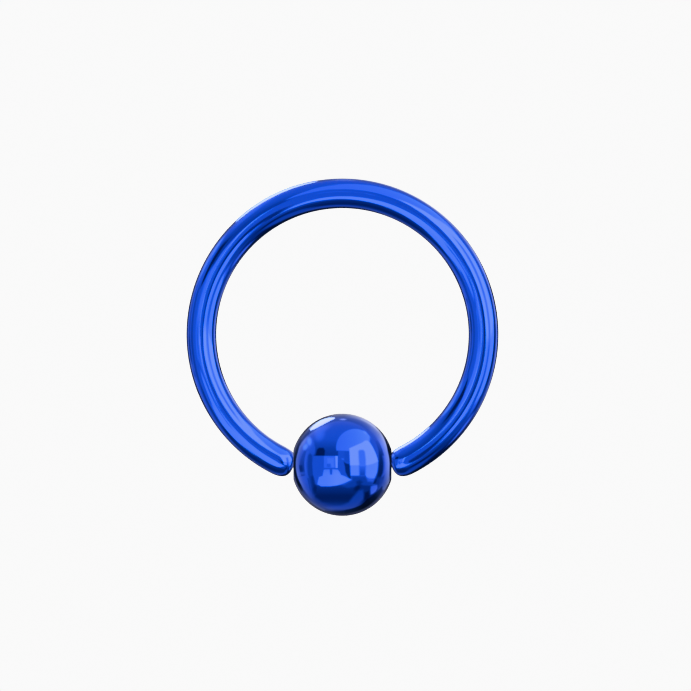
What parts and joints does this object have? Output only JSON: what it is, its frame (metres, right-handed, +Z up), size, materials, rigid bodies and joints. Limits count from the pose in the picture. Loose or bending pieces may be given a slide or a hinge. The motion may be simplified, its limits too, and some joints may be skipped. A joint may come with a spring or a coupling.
{
  "type": "captive bead ring",
  "caption": "Round hoop of polished blue wire for a body piercing, closed by a ball that turns freely between the hoop's rounded ends.",
  "frame": {"origin": "on the surface that the ring lies on, in the middle of its outline", "axes": "+X along the line through the bead's two dimples, +Y from the bead towards the far side of the hoop, +Z up"},
  "size_m": [0.0124, 0.0134, 0.0041],
  "materials": {
    "anodised_wire": "titanium wire, polished to a mirror and anodised deep blue",
    "anodised_bead": "titanium ball, polished to a mirror and anodised deep blue"
  },
  "bodies": {
    "ring": {"ring": "anodised_wire"},
    "bead": {"captive_bead": "anodised_bead"}
  },
  "joints": [
    {"name": "bead_spin", "type": "hinge", "parent": "ring", "child": "bead", "pos_m": [0, -0.00462, 0.00204], "axis": [1, 0, 0], "continuous": true}
  ]
}
